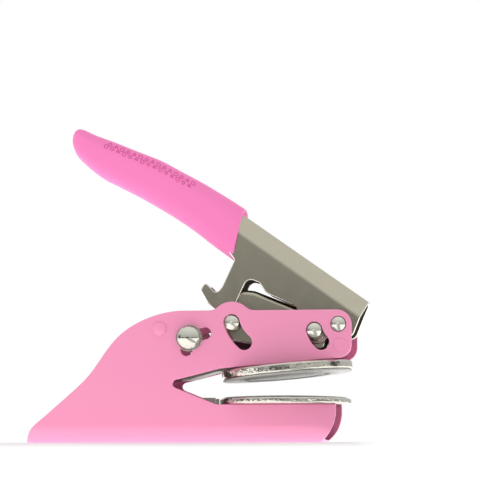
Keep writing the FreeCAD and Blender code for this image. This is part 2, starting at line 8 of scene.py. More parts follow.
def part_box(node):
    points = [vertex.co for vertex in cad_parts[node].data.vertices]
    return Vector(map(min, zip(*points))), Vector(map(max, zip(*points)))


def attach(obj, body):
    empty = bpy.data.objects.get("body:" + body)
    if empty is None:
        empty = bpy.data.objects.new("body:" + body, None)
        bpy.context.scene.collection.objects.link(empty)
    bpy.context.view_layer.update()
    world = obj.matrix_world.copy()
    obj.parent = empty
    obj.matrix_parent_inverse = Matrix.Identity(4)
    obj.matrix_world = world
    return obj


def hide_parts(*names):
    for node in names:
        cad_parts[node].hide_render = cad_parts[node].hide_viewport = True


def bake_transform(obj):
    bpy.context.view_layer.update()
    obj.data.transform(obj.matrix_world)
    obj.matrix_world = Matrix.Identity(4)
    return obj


# Hand seal embosser: a pink coated frame, a satin nickel lever with a soft moulded grip, polished
# pins and die holders. Metres, in the frame's own axes.

# How CAD shapes are refined
weld = 0.000002
lever_weld = 0.00005
flat_angle = math.radians(0.4)
smooth_angle = math.radians(32)
bevel_angle = math.radians(38)
frame_round = 0.00032
lever_round = 0.0003
arm_round = 0.00020
small_round = 0.00012
round_steps = 3
normal_weight = 100

# Pin ends: a low dome with a rounded rim and a punched centre
pin_dome = 0.0013
pin_rim = 0.00022
punch_radius = 0.00062
punch_depth = 0.00032
dome_steps = 12
rim_share = 0.3
outer_share, half_share, inner_share = 0.8, 0.5, 0.3
turned_steps = 96
crosswise = math.radians(90)

# Lines and tubes
curve_steps = 24
tube_sides = 8
least_cross = 0.1

# Finishes: the noises' detail and roughness, and the span of noise that changes the gloss
patch_detail, patch_roughness = 4.0, 0.6
grain_detail, grain_roughness = 3.0, 0.55
noise_low, noise_high = 0.3, 0.7

# Pins: their shanks' radii, and where they grow thick
pivot_shank = 0.0022
pivot_gap = 0.0002
travel_shank = 0.00175
guide_shank = 0.00135
cheek_inner = 0.0137
cheek_outer = 0.0152
wall_outer = 0.0092
wall_play = 0.0003

# Spacer heads: a low upright side under a flat dome
spacer_shank = 0.0019
rear_head_side = 0.0004
front_head_side = 0.00022
head_round = 0.0001

# Lever and press arm: where their inner faces lie, which get a dark nickel as painted shade, the ridges, in a
# brighter metal as painted highlight, and the far flange, a dark sheet as painted shade
lever_slope = math.radians(35.2)
lever_roof_start = 0.010
arm_roof_start = 0.005
flange_inset, flange_length, flange_rise, flange_thickness = 0.0015, 0.0170, 0.0050, 0.0004
ridge_radii = (0.0037, 0.0047)
ridge_height = 0.0004
ridge_start, ridge_end = math.radians(-125), math.radians(-15)
inward = 0.4
downward = 0.6
floor_inner = 0.0025

# Grip: its outline as shares of the node's box, from the mouth to the end
grip_top_shares = [(1.000, 0.377), (0.985, 0.395), (0.890, 0.475), (0.757, 0.580), (0.623, 0.675),
                   (0.514, 0.751), (0.364, 0.830), (0.244, 0.894), (0.139, 0.945), (0.066, 0.989)]
grip_low_shares = [(0.934, 0.005), (0.905, 0.030), (0.818, 0.112), (0.707, 0.224), (0.595, 0.324),
                   (0.484, 0.412), (0.372, 0.495), (0.260, 0.570), (0.160, 0.639), (0.062, 0.744)]
grip_end_shares = [(0.030, 0.993), (0.006, 0.957), (0.000, 0.886), (0.022, 0.808)]
grip_squareness = 3.8
grip_round_start = 0.80
grip_round_power = 2.6
grip_rings = 120
grip_ring_points = 72
grip_lip = 0.0006
grip_lip_steps = 6
grip_axis_rings = 12
grip_wall = 0.0014
grip_hollow = 0.0012
grip_shade = math.radians(60)

# Raised band of plain figures along the grip's upper edge
band_start_share = 0.29
band_end_share = 0.80
row_height_shares = (0.125, 0.215)
figure_size = 0.00075
figure_pitch = 0.0026
line_radius = 0.00016
circle_steps = 16
side_steps = 4

# Die plates: rings, ticks and locating dimples
open_angle = math.radians(5.2)
face_radius = 0.0185
face_rise = 0.0003
upper_thickness = 0.00065
ring_shares = [0.95, 0.76]
ring_width = 0.0005
ring_height = 0.00018
tick_count = 72
tick_length = 0.0014
tick_width = 0.0004
dimple_place = 0.0222
dimple_angles = [math.radians(angle) for angle in (-38, -49, -58)]
dimple_radius = 0.00045
dimple_height = 0.00012
dimple_steps = 20

# Clip: its cuts
clip_cuts = 40

# Camera, set out from the lower die's middle
camera_from_die = Vector((0.118483, -1.16201, -0.028))
target_from_die = Vector((-0.018017, 0, 0.08015))
camera_sensor = 36.0
camera_lens = 223.54
camera_near = 0.05
camera_far = 50

# Stage: level under the object, falling gently away in front of it
stage_reach = 6.0
stage_back_rows = [1.0, 0.3, 0.1, 0.0]
stage_front_rows = [-0.5, -1.5]
slope_row = 0.1
slope_start = -0.0185
slope_angle = math.radians(5.5)
slope_ease = 0.02
stage_steps = 24

# Floor: its light on the object with a darker gap towards the camera, and its glow to the camera,
# which grows with the distance from the base, so that a painted shadow darkens the floor round the base on
# top of its real shadow
floor_shade = 0.72
floor_light = 1.0
gap_place, gap_start, gap_end = 0.06, 0.25, 0.42
base_middle, base_reach, end_steepness = -0.0068, 0.050, 2.0
glow_start, glow_end = 0.018, 0.060
floor_glow = 0.42

# Room: its light on the object
horizon_light, zenith_light = 0.60, 1.10

# Cards that only metal shows: width, height, turn about the object, distance, middle and brightness
cards = {
    "left_card": (1.60, 0.13, math.radians(-58), 1.45, 0.055, 0.05),
    "right_card": (1.60, 0.13, math.radians(52), 1.45, 0.055, 0.05),
    "front_card": (0.75, 0.24, math.radians(-7), 1.40, 0.06, 0.08),
    "left_bar": (0.42, 0.50, math.radians(-76), 1.30, 0.18, 0.04),
    "right_bar": (0.30, 0.50, math.radians(98), 1.30, 0.18, 0.04),
}

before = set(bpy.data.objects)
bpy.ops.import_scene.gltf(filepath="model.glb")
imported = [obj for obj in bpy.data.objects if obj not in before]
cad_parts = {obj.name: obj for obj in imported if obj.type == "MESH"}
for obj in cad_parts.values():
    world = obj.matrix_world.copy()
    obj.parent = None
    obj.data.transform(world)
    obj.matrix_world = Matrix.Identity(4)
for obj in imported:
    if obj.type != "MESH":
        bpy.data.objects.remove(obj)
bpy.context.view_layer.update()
scene = bpy.context.scene


def add_object(name, mesh):
    piece = bpy.data.objects.new(name, mesh)
    scene.collection.objects.link(piece)
    return piece


def smooth(mesh, angle=smooth_angle):
    """Smooth shading, with edges sharper than an angle kept sharp."""
    for face in mesh.polygons:
        face.use_smooth = True
    mesh.set_sharp_from_angle(angle=angle)


def copy_of(node, name, gap=weld):
    """A mesh with a node's shape, welded, with its flat faces made whole."""
    work = bmesh.new()
    work.from_mesh(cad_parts[node].data)
    bmesh.ops.remove_doubles(work, verts=work.verts, dist=gap)
    bmesh.ops.dissolve_limit(work, angle_limit=flat_angle, verts=work.verts, edges=work.edges)
    mesh = bpy.data.meshes.new(name)
    work.to_mesh(mesh)
    work.free()
    for layer in ("custom_normal", "sharp_edge", "sharp_face"):
        if layer in mesh.attributes:
            mesh.attributes.remove(mesh.attributes[layer])
    smooth(mesh)
    return mesh


def round_edges(piece, width, edge_index=None):
    """Rounds a piece's sharp edges as geometry, if wanted with a brighter finish on them as painted
    highlight.
    """
    bevel = piece.modifiers.new("rounded_edges", "BEVEL")
    bevel.width = width
    bevel.segments = round_steps
    bevel.limit_method = "ANGLE"
    bevel.angle_limit = bevel_angle
    bevel.use_clamp_overlap = False
    bevel.loop_slide = False
    if edge_index is not None:
        bevel.material = edge_index
    weighted = piece.modifiers.new("even_normals", "WEIGHTED_NORMAL")
    weighted.keep_sharp = True
    weighted.weight = normal_weight


def place_on(piece, body, slot, materials, *nodes):
    """Puts a piece on its body in the place of CAD nodes, with its finishes; its slot is not used."""
    piece.data.materials.clear()
    for material in materials:
        piece.data.materials.append(material)
    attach(piece, body)
    if nodes:
        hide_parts(*nodes)
    return piece


def refined(node, body, slot, finishes, width, is_inside=None, gap=weld):
    """A node's own shape with rounded edges; its finishes are the outer one, a darker one on the inner faces
    as painted shade and a brighter one on the edges as painted highlight.
    """
    piece = add_object(node + "_finished", copy_of(node, node + "_finished", gap))
    round_edges(piece, width, 2 if len(finishes) > 2 else None)
    place_on(piece, body, slot, finishes, node)
    if is_inside:
        for face in piece.data.polygons:
            face.material_index = int(is_inside(face.center, face.normal))
    return piece


def mesh_of(work, name):
    """The mesh of a finished working mesh, its faces turned outwards."""
    bmesh.ops.recalc_face_normals(work, faces=work.faces)
    mesh = bpy.data.meshes.new(name)
    work.to_mesh(mesh)
    work.free()
    return mesh


def turned(name, profile, steps=turned_steps):
    """A mesh turned about Z from (radius, height) points; ends at radius zero close it."""
    work = bmesh.new()
    rings = []
    for radius, height in profile:
        if radius == 0:
            rings.append([work.verts.new((0, 0, height))])
            continue
        turns = [2 * math.pi * step / steps for step in range(steps)]
        rings.append([work.verts.new((radius * math.cos(t), radius * math.sin(t), height)) for t in turns])
    for first, second in zip(rings, rings[1:]):
        for step in range(steps):
            after = (step + 1) % steps
            corners = [first[step % len(first)], first[after % len(first)],
                       second[after % len(second)], second[step % len(second)]]
            work.faces.new(list(dict.fromkeys(corners)))
    mesh = mesh_of(work, name)
    smooth(mesh)
    return mesh


def tube(work, path, radius, closed=True, sides=tube_sides):
    """A thin round tube along points, added to a working mesh."""
    rings = []
    count = len(path)
    for index, spot in enumerate(path):
        before = path[index - 1] if closed or index else spot
        after = path[(index + 1) % count] if closed or index + 1 < count else spot
        along = (after - before).normalized()
        side = along.cross(Vector((0, 1, 0)))
        if side.length < least_cross:
            side = along.cross(Vector((0, 0, 1)))
        side.normalize()
        other = along.cross(side)
        turns = [2 * math.pi * step / sides for step in range(sides)]
        rings.append([work.verts.new(spot + side * (radius * math.cos(t)) + other * (radius * math.sin(t)))
                      for t in turns])
    pairs = list(zip(rings, rings[1:]))
    if closed:
        pairs.append((rings[-1], rings[0]))
    for first, second in pairs:
        for step in range(sides):
            after = (step + 1) % sides
            work.faces.new((first[step], first[after], second[after], second[step]))
    if not closed:
        work.faces.new(rings[0])
        work.faces.new(rings[-1][::-1])


def curve_through(points, count):
    """Evenly spread places on a smooth line through a few points."""
    ends = [points[0] * 2 - points[1]] + points + [points[-1] * 2 - points[-2]]
    spots = []
    for a, b, c, d in zip(ends, ends[1:], ends[2:], ends[3:]):
        for step in range(curve_steps):
            t = step / curve_steps
            spots.append(0.5 * (2 * b + (c - a) * t + (2 * a - 5 * b + 4 * c - d) * t * t
                                + (3 * b - a - 3 * c + d) * t ** 3))
    spots.append(points[-1])
    lengths = [0.0]
    for a, b in zip(spots, spots[1:]):
        lengths.append(lengths[-1] + (b - a).length)
    result = []
    at = 0
    for index in range(count):
        wanted = lengths[-1] * index / (count - 1)
        while at + 2 < len(spots) and lengths[at + 1] < wanted:
            at += 1
        share = (wanted - lengths[at]) / max(lengths[at + 1] - lengths[at], weld)
        result.append(spots[at].lerp(spots[at + 1], min(share, 1)))
    return result


def node_tools(name):
    """A new material, its shader and a short way to add and join nodes."""
    material = bpy.data.materials.new(name)
    material.use_nodes = True
    tree = material.node_tree
    shader = tree.nodes["Principled BSDF"]

    def add(kind, **values):
        node = tree.nodes.new(kind)
        for key, value in values.items():
            if hasattr(node, key):
                setattr(node, key, value)
            else:
                node.inputs[key.replace("_", " ")].default_value = value
        return node

    def join(source, output, target, socket):
        tree.links.new(source.outputs[output], target.inputs[socket])
    return material, shader, add, join


def ramp(add, lowest, highest, start, end):
    """A node that maps a span of values to another, and holds both ends."""
    node = add("ShaderNodeMapRange")
    for socket, value in zip(("From Min", "From Max", "To Min", "To Max"), (lowest, highest, start, end)):
        node.inputs[socket].default_value = value
    return node


def procedural(name, colour, other, patch_scale, roughness, rough_spread, grain_scale, grain_depth,
               **shader_values):
    """A finish with two close colours in soft patches, uneven gloss and a fine grained surface."""
    material, shader, add, join = node_tools(name)
    place = add("ShaderNodeTexCoord")
    patches = add("ShaderNodeTexNoise", Scale=patch_scale, Detail=patch_detail,
                  Roughness=patch_roughness)
    mix = add("ShaderNodeMix", data_type="RGBA")
    colours = [socket for socket in mix.inputs if socket.type == "RGBA"]
    colours[0].default_value = (*colour, 1)
    colours[1].default_value = (*other, 1)
    out = next(index for index, socket in enumerate(mix.outputs) if socket.type == "RGBA")
    join(place, "Object", patches, "Vector")
    join(patches, "Fac", mix, 0)
    join(mix, out, shader, "Base Color")
    grain = add("ShaderNodeTexNoise", Scale=grain_scale, Detail=grain_detail, Roughness=grain_roughness)
    join(place, "Object", grain, "Vector")
    spread = ramp(add, noise_low, noise_high, roughness - rough_spread, roughness + rough_spread)
    join(patches, "Fac", spread, "Value")
    join(spread, "Result", shader, "Roughness")
    bump = add("ShaderNodeBump", Distance=grain_depth, Strength=1.0)
    join(grain, "Fac", bump, "Height")
    join(bump, "Normal", shader, "Normal")
    for key, value in shader_values.items():
        shader.inputs[key.replace("_", " ")].default_value = value
    return material


pink_paint = procedural("pink_powder_coat", (0.880, 0.305, 0.495), (0.865, 0.290, 0.480), 60, 0.40, 0.03,
                        1500, 0.000006, Coat_Weight=0.25, Coat_Roughness=0.2)
# The frame's inner faces: the same pink made darker, as painted shade.
inner_pink_painted_shade = procedural("pink_coat_painted_shade", (0.60, 0.150, 0.290), (0.57, 0.140, 0.275), 60, 0.50, 0.03,
                        1500, 0.000006)
grip_plastic = procedural("magenta_grip", (0.940, 0.230, 0.525), (0.920, 0.220, 0.507), 70, 0.62, 0.04,
                          2600, 0.000010, Specular_IOR_Level=0.3)
# The raised figures: the grip's magenta made darker, as painted shade along their outlines.
figure_pink_painted_shade = procedural("magenta_figures_painted_shade", (0.66, 0.110, 0.340), (0.64, 0.105, 0.330), 70, 0.62, 0.04,
                            2600, 0.000010, Specular_IOR_Level=0.3)
nickel = procedural("satin_nickel", (0.480, 0.452, 0.360), (0.445, 0.418, 0.328), 240, 0.24, 0.03,
                    3200, 0.000004, Metallic=1.0)
# Rounded edges and ridges: a brighter metal than the nickel, as painted highlight.
edge_painted_highlight = procedural("edge_painted_highlight", (0.88, 0.86, 0.80), (0.80, 0.78, 0.72), 500, 0.25, 0.04,
                      3200, 0.000002, Metallic=1.0)
# The lever's and press arm's inner faces: the nickel made nearly black, as painted shade.
nickel_painted_shade = procedural("nickel_painted_shade", (0.100, 0.090, 0.075), (0.075, 0.068, 0.056), 300, 0.50, 0.05,
                         2600, 0.000006, Metallic=0.8)
# A near-black coat as painted shade, on the sheet behind the guide slot.
shadowed_coat = procedural("shadowed_coat", (0.10, 0.022, 0.045), (0.08, 0.018, 0.036), 300, 0.55, 0.05,
                           2600, 0.000006)
pin_steel = procedural("polished_pin", (0.66, 0.65, 0.59), (0.58, 0.57, 0.50), 700, 0.19, 0.05,
                       900, 0.00004, Metallic=1.0)
knob_chrome = procedural("knob_chrome", (0.62, 0.62, 0.55), (0.56, 0.56, 0.49), 300, 0.14, 0.03,
                         1600, 0.000002, Metallic=1.0)
holder_chrome = procedural("holder_nickel", (0.68, 0.665, 0.60), (0.50, 0.485, 0.41), 180, 0.13, 0.05,
                           230, 0.0005, Metallic=1.0)
die_metal = procedural("die_face", (0.50, 0.49, 0.46), (0.40, 0.39, 0.365), 260, 0.42, 0.06,
                       1400, 0.00002, Metallic=0.5)
counter_die = procedural("counter_die", (0.50, 0.50, 0.48), (0.44, 0.44, 0.42), 300, 0.5, 0.05,
                         2400, 0.000006, Metallic=0.4)
spring_steel = procedural("spring_steel", (0.30, 0.285, 0.25), (0.25, 0.235, 0.205), 260, 0.42, 0.05,
                          2400, 0.000004, Metallic=1.0)
# The clip's lower leaf: a brighter copy of the spring steel, as painted light.
spring_steel_painted_light = procedural("spring_steel_painted_light", (0.62, 0.60, 0.54), (0.52, 0.50, 0.44), 260, 0.30, 0.05,
                           2400, 0.000004, Metallic=1.0)
pad_steel = procedural("machined_steel", (0.30, 0.295, 0.285), (0.25, 0.245, 0.235), 400, 0.38, 0.06,
                       3000, 0.000006, Metallic=1.0)


def dome_points(radius, end, dome, first, last, steps):
    """Places on a low dome over a round end, from one radius to another."""
    ball = (radius ** 2 + dome ** 2) / (2 * dome)
    centre = end + dome - ball
    sizes = [first + (last - first) * step / steps for step in range(steps + 1)]
    return [(size, centre + math.sqrt(ball ** 2 - size ** 2)) for size in sizes]


def pin_profile(stations, dome):
    """Half of a pin from its middle to its punched, domed end, as (radius, height)."""
    radius, end = stations[-1]
    crown = dome_points(radius, end, dome, radius - pin_rim, punch_radius, dome_steps)
    rim_height = crown[0][1]
    tip = crown[-1][1]
    points = list(stations[:-1])
    points.append((radius, end - pin_rim))
    points.append((radius - pin_rim * rim_share, (end + rim_height) / 2))
    points += crown
    points += [(punch_radius * outer_share, tip - punch_depth * half_share),
               (punch_radius * inner_share, tip - punch_depth), (0, tip - punch_depth)]
    return points


def turned_across(node, half):
    """A piece turned about a line across the object from half of its profile, on a node's middle."""
    profile = [(r, -h) for r, h in reversed(half)] + half[1:]
    mesh = turned(node + "_finished", profile)
    mesh.transform(Matrix.Translation(middle_of(node)) @ Matrix.Rotation(crosswise, 4, "X"))
    return add_object(node + "_finished", mesh)


def add_pin(node, body, shank, stop, gap=0.0):
    """A turned pin across the object: a thin shank, thick from a stop to its domed ends."""
    lo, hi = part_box(node)
    radius = (hi.z - lo.z) / 2 - gap
    end = (hi.y - lo.y) / 2 - pin_dome
    half = pin_profile([(shank, 0), (shank, stop), (radius, stop), (radius, end)], pin_dome)
    place_on(turned_across(node, half), body, "pin_steel", [pin_steel], node)


def add_spacer(node, side):
    """A round bar between the cheeks with a painted head outside each."""
    lo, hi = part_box(node)
    radius = (hi.z - lo.z) / 2
    end = cheek_outer + side
    half = [(spacer_shank, 0), (spacer_shank, cheek_outer), (radius, cheek_outer), (radius, end - head_round)]
    half += dome_points(radius, end, hi.y - end, radius - head_round, 0, dome_steps)
    place_on(turned_across(node, half), "frame", "pink_paint", [pink_paint], node)


def middle_of(node):
    lo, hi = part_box(node)
    return (lo + hi) / 2


def in_frame(centre, normal):
    """True for the inner faces of the folded sheet, which get a darker pink as painted shade."""
    return (normal.y * math.copysign(1, centre.y) < -inward
            or (normal.z > downward and centre.z < floor_inner))


def add_frame():
    refined("frame_shell", "frame", "pink_paint", [pink_paint, inner_pink_painted_shade], frame_round, in_frame)
    add_spacer("rear_spacer", rear_head_side)
    add_spacer("front_spacer", front_head_side)
    refined("clip_anchor_rod", "frame", "pin_steel", [spring_steel], small_round)
    refined("pivot_bushes", "frame", "pin_steel", [spring_steel], small_round)


def add_pins():
    add_pin("lever_pivot_pin", "frame", pivot_shank, cheek_inner, pivot_gap)
    add_pin("travel_pin", "lever", travel_shank, wall_outer)
    add_pin("guide_pin", "press_arm", guide_shank, wall_outer + wall_play)


def in_channel(centre, normal):
    """True for the inner faces of the lever's channel, which get a dark nickel as painted shade."""
    up = Vector((math.sin(lever_slope), 0, math.cos(lever_slope)))
    under_roof = (centre - middle_of("lever_pivot_pin")).dot(up) > lever_roof_start
    return normal.y * math.copysign(1, centre.y) < -inward or (under_roof and normal.dot(up) < -downward)


def in_arm(centre, normal):
    """True for the inner faces of the press arm, which get a dark nickel as painted shade."""
    under_roof = centre.z > middle_of("link_pin").z + arm_roof_start
    return normal.y * math.copysign(1, centre.y) < -inward or (under_roof and normal.z < -downward)


def add_ridges():
    """Pressed ridges in the lever's walls, round the lower side of the travel pin, in a brighter metal as
    painted highlight.
    """
    centre = middle_of("travel_pin")
    work = bmesh.new()
    for side in (-1, 1):
        for radius in ridge_radii:
            turns = [ridge_start + (ridge_end - ridge_start) * step / circle_steps
                     for step in range(circle_steps + 1)]
            path = [Vector((centre.x + radius * math.cos(t), side * wall_outer,
                            centre.z + radius * math.sin(t))) for t in turns]
            tube(work, path, ridge_height, closed=False)
    mesh = mesh_of(work, "lever_ridges")
    smooth(mesh)
    place_on(add_object("lever_ridges", mesh), "lever", "nickel_plate", [edge_painted_highlight])


def add_far_flange():
    """A thin dark sheet that carries the press arm's far wall on downwards behind the guide slot, put there
    as painted shade.
    """
    lo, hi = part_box("press_arm")
    corners = [(lo.x + flange_inset, lo.z), (lo.x + flange_length, lo.z),
               (lo.x + flange_length, lo.z + flange_rise), (lo.x + flange_inset, lo.z + flange_rise)]
    work = bmesh.new()
    sides = [[work.verts.new((x, y, z)) for x, z in corners]
             for y in (hi.y - flange_thickness, hi.y)]
    work.faces.new(sides[0])
    work.faces.new(sides[1][::-1])
    for step in range(4):
        after = (step + 1) % 4
        work.faces.new((sides[0][step], sides[1][step], sides[1][after], sides[0][after]))
    mesh = mesh_of(work, "arm_far_shade_flange")
    place_on(add_object("arm_far_shade_flange", mesh), "press_arm", "nickel_plate", [shadowed_coat])


def add_lever():
    refined("lever_channel", "lever", "nickel_plate", [nickel, nickel_painted_shade, edge_painted_highlight], lever_round,
            in_channel, lever_weld)
    add_ridges()
    add_far_flange()
    refined("link_pin", "lever", "pin_steel", [pin_steel], small_round)
    refined("press_arm", "press_arm", "nickel_plate", [nickel, nickel_painted_shade, edge_painted_highlight], arm_round, in_arm)
    refined("pressure_pad", "press_arm", "pad_steel", [pad_steel], small_round)
    refined("pad_pin", "press_arm", "pad_steel", [pad_steel], small_round)


class GripSurface:
    """The sleeve's outer surface, by a share along it and a height share down it."""

    def __init__(self):
        self.low, self.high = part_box("grip")
        self.half_width = (self.high.y - self.low.y) / 2
        tip = self.spot(grip_end_shares[1]).lerp(self.spot(grip_end_shares[2]), 0.5)
        tops = [self.spot(share) for share in grip_top_shares] + [self.spot(grip_end_shares[0])]
        lows = [self.spot(share) for share in grip_low_shares] + [self.spot(grip_end_shares[3])]
        tops += [self.spot(grip_end_shares[1]), tip]
        lows += [self.spot(grip_end_shares[2]), tip]
        self.tops = curve_through(tops, grip_rings)
        self.lows = curve_through(lows, grip_rings)

    def spot(self, share):
        """A place in the middle plane, by shares of the node's box."""
        size = self.high - self.low
        return Vector((self.low.x + share[0] * size.x, 0, self.low.z + share[1] * size.z))

    def width(self, along):
        """Half the width: even, then drawn in to a round end."""
        if along < grip_round_start:
            return self.half_width
        share = (along - grip_round_start) / (1 - grip_round_start)
        return self.half_width * math.sqrt(max(1 - share ** grip_round_power, 0))

    def edges(self, along):
        place = along * (grip_rings - 1)
        index = min(int(place), grip_rings - 2)
        share = place - index
        return (self.tops[index].lerp(self.tops[index + 1], share),
                self.lows[index].lerp(self.lows[index + 1], share))

    def at(self, along, down, side):
        """A place on the near (-1) or far (1) side, from 0 at the top to 1 at the bottom."""
        top, bottom = self.edges(along)
        rise = abs(1 - 2 * down)
        out = (1 - rise ** grip_squareness) ** (1 / grip_squareness)
        return top.lerp(bottom, down) + Vector((0, side * self.width(along) * out, 0))

    def ring(self, along, shrink=0.0):
        """The sleeve's section as a closed ring of places, drawn in by a wall."""
        top, bottom = self.edges(along)
        tall = (top - bottom).length / 2
        up = (top - bottom).normalized()
        centre = (top + bottom) / 2
        high = max(tall - shrink, 0)
        wide = max(self.width(along) - shrink, 0)
        places = []
        for step in range(grip_ring_points):
            turn = 2 * math.pi * step / grip_ring_points
            rise = math.copysign(abs(math.sin(turn)) ** (2 / grip_squareness), math.sin(turn))
            out = math.copysign(abs(math.cos(turn)) ** (2 / grip_squareness), math.cos(turn))
            places.append(centre + up * (high * rise) + Vector((0, wide * out, 0)))
        return places


def figure(kind):
    """A small plain figure's outline, as (along, up) places about its middle."""
    if kind == 0:
        turns = [2 * math.pi * step / circle_steps for step in range(circle_steps)]
        return [(figure_size * math.cos(t), figure_size * math.sin(t)) for t in turns]
    corners = 3 if kind == 1 else 4
    points = []
    for corner in range(corners):
        first = math.pi / 2 + 2 * math.pi * corner / corners
        second = first + 2 * math.pi / corners
        for step in range(side_steps):
            share = step / side_steps
            points.append((figure_size * ((1 - share) * math.cos(first) + share * math.cos(second)),
                           figure_size * ((1 - share) * math.sin(first) + share * math.sin(second))))
    return points


def add_figures(work, surface):
    """Two rows of plain rings, triangles and diamonds, raised on both sides of the grip."""
    length = sum((b - a).length for a, b in zip(surface.tops, surface.tops[1:]))
    span = (band_end_share - band_start_share) * length
    count = int(span / figure_pitch)
    for side in (-1, 1):
        for index in range(count):
            for row, height_share in enumerate(row_height_shares):
                along = band_start_share + (index + row / 2) * figure_pitch / length
                top, bottom = surface.edges(along)
                tall = (top - bottom).length
                path = [surface.at(along - run / length, height_share - rise / tall, side)
                        for run, rise in figure((index + row) % 3)]
                tube(work, path, line_radius)


def add_grip():
    """The moulded sleeve: rounded mouth lip, smooth body, round end and the raised band."""
    surface = GripSurface()
    rings = []
    axis = (surface.tops[0] - surface.tops[grip_axis_rings]).normalized()
    depth = max(int(grip_hollow / (surface.tops[1] - surface.tops[0]).length), 1)
    for index in range(depth, 0, -1):
        rings.append(surface.ring(index / (grip_rings - 1), grip_wall))
    for step in range(grip_lip_steps + 1):
        turn = math.pi * step / grip_lip_steps
        shrink = grip_wall / 2 * (1 + math.cos(turn))
        push = grip_lip * (math.sin(turn) - 1)
        rings.append([place + axis * push for place in surface.ring(0, shrink)])
    for index in range(1, grip_rings - 1):
        rings.append(surface.ring(index / (grip_rings - 1)))
    work = bmesh.new()
    made = [[work.verts.new(place) for place in ring] for ring in rings]
    for first, second in zip(made, made[1:]):
        for step in range(grip_ring_points):
            after = (step + 1) % grip_ring_points
            work.faces.new((first[step], first[after], second[after], second[step]))
    work.faces.new(made[0])
    tip = work.verts.new(surface.tops[-1])
    for step in range(grip_ring_points):
        work.faces.new((made[-1][step], made[-1][(step + 1) % grip_ring_points], tip))
    plain = len(work.faces)
    add_figures(work, surface)
    mesh = mesh_of(work, "grip_sleeve")
    smooth(mesh, grip_shade)
    piece = add_object("grip_sleeve", mesh)
    place_on(piece, "lever", "grip_plastic", [grip_plastic, figure_pink_painted_shade], "grip")
    # The figures' faces take the darker magenta, painted shade.
    for face in mesh.polygons[plain:]:
        face.material_index = 1


def die_face(name, radius, thickness):
    """A die plate with its raised, worked face up: rings and ticks, plain and without words."""
    top = thickness / 2
    face = top + face_rise - ring_height
    edge = small_round
    profile = [(0, -top), (radius - edge, -top), (radius, -top + edge), (radius, top - edge),
               (radius - edge, top), (face_radius, top), (face_radius, face - edge),
               (face_radius - edge, face)]
    for share in ring_shares:
        outer = face_radius * share
        profile += [(outer, face), (outer - edge, face + ring_height),
                    (outer - ring_width, face + ring_height), (outer - ring_width - edge, face)]
    profile.append((0, face))
    mesh = turned(name, profile)
    work = bmesh.new()
    work.from_mesh(mesh)
    middle = face_radius * (ring_shares[0] + ring_shares[1]) / 2
    for index in range(tick_count):
        turn = Matrix.Rotation(2 * math.pi * index / tick_count, 4, "Z")
        made = bmesh.ops.create_cube(work, size=1)["verts"]
        shape = Matrix.Diagonal((tick_length, tick_width, ring_height * 2, 1))
        bmesh.ops.transform(work, matrix=turn @ Matrix.Translation((middle, 0, face)) @ shape, verts=made)
    return mesh, work


def add_dimples(work, thickness):
    """Small locating studs on the plate's rim, beside its raised face."""
    for angle in dimple_angles:
        spot = Vector((dimple_place * math.cos(angle), -dimple_place * math.sin(angle), thickness / 2))
        bmesh.ops.create_cone(work, cap_ends=True, segments=dimple_steps, radius1=dimple_radius,
                              radius2=dimple_radius, depth=2 * dimple_height,
                              matrix=Matrix.Translation(spot))


def add_die(node, body, slot, material, thickness, shift, turn, dimpled):
    """A die plate on its node's place; a shift and a turn bring its face to the right side."""
    lo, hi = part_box(node)
    mesh, work = die_face(node + "_finished", (hi.y - lo.y) / 2, thickness)
    if dimpled:
        add_dimples(work, thickness)
    work.to_mesh(mesh)
    work.free()
    smooth(mesh)
    mesh.transform(Matrix.Translation(middle_of(node) + Vector((0, 0, shift))) @ turn)
    place_on(add_object(node + "_finished", mesh), body, slot, [material], node)


def add_dies():
    lo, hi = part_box("lower_die_plate")
    level = Matrix.Identity(4)
    upside_down = Matrix.Rotation(-open_angle, 4, "Y") @ Matrix.Rotation(math.pi, 4, "X")
    add_die("lower_die_plate", "frame", "counter_die", counter_die, hi.z - lo.z - face_rise,
            -face_rise / 2, level, False)
    add_die("upper_die_plate", "upper_die", "die_metal", die_metal, upper_thickness, 0, upside_down, True)
    for node, body in (("lower_die_holder", "frame"), ("upper_die_holder", "upper_die")):
        refined(node, body, "holder_chrome", [holder_chrome], small_round)
    refined("lower_clip_rivets", "frame", "pin_steel", [pin_steel], small_round)
    refined("upper_clip_rivets", "upper_die", "pin_steel", [pin_steel], small_round)


def half_of_clip(name, height, upper):
    """The clip's strip above or below a height, cut closely along its length so that it can bend."""
    work = bmesh.new()
    work.from_mesh(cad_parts["die_clip_spring"].data)
    bmesh.ops.remove_doubles(work, verts=work.verts, dist=weld)
    bmesh.ops.dissolve_limit(work, angle_limit=flat_angle, verts=work.verts, edges=work.edges)
    cut = bmesh.ops.bisect_plane(work, geom=work.verts[:] + work.edges[:] + work.faces[:],
                                 plane_co=(0, 0, height), plane_no=(0, 0, -1 if upper else 1),
                                 clear_outer=True)
    rim = [part for part in cut["geom_cut"] if isinstance(part, bmesh.types.BMEdge)]
    bmesh.ops.holes_fill(work, edges=rim)
    lo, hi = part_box("die_clip_spring")
    for index in range(1, clip_cuts):
        spot = lo.x + (hi.x - lo.x) * index / clip_cuts
        bmesh.ops.bisect_plane(work, geom=work.verts[:] + work.edges[:] + work.faces[:],
                               plane_co=(spot, 0, 0), plane_no=(1, 0, 0))
    mesh = bpy.data.meshes.new(name)
    work.to_mesh(mesh)
    work.free()
    smooth(mesh)
    return mesh


